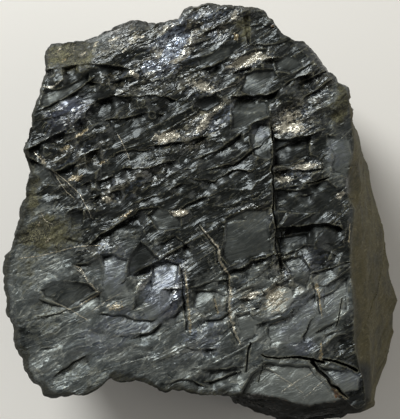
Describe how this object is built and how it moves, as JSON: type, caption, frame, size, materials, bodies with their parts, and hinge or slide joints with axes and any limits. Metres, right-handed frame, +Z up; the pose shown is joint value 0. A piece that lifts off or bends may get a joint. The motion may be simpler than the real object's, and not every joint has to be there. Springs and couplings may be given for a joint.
{
  "type": "coal lump",
  "caption": "Broken block of black banded coal with a rough splintered fracture face on top, one clean joint face flaring at the side and a flat parting face to rest on",
  "frame": {"origin": "centre of the bounding box in X and Y, on the flat foot the lump rests on", "axes": "+Z up out of the rough fracture face, +X towards the clean flaring joint face, +Y towards the broken shoulder at the far edge of the face"},
  "size_m": [0.1096, 0.1156, 0.0649],
  "materials": {
    "coal": "black bituminous coal, glossy splintered bands, dull grey bands and thin cream mineral films"
  },
  "bodies": {
    "root": {"coal_lump": "coal"}
  },
  "joints": []
}
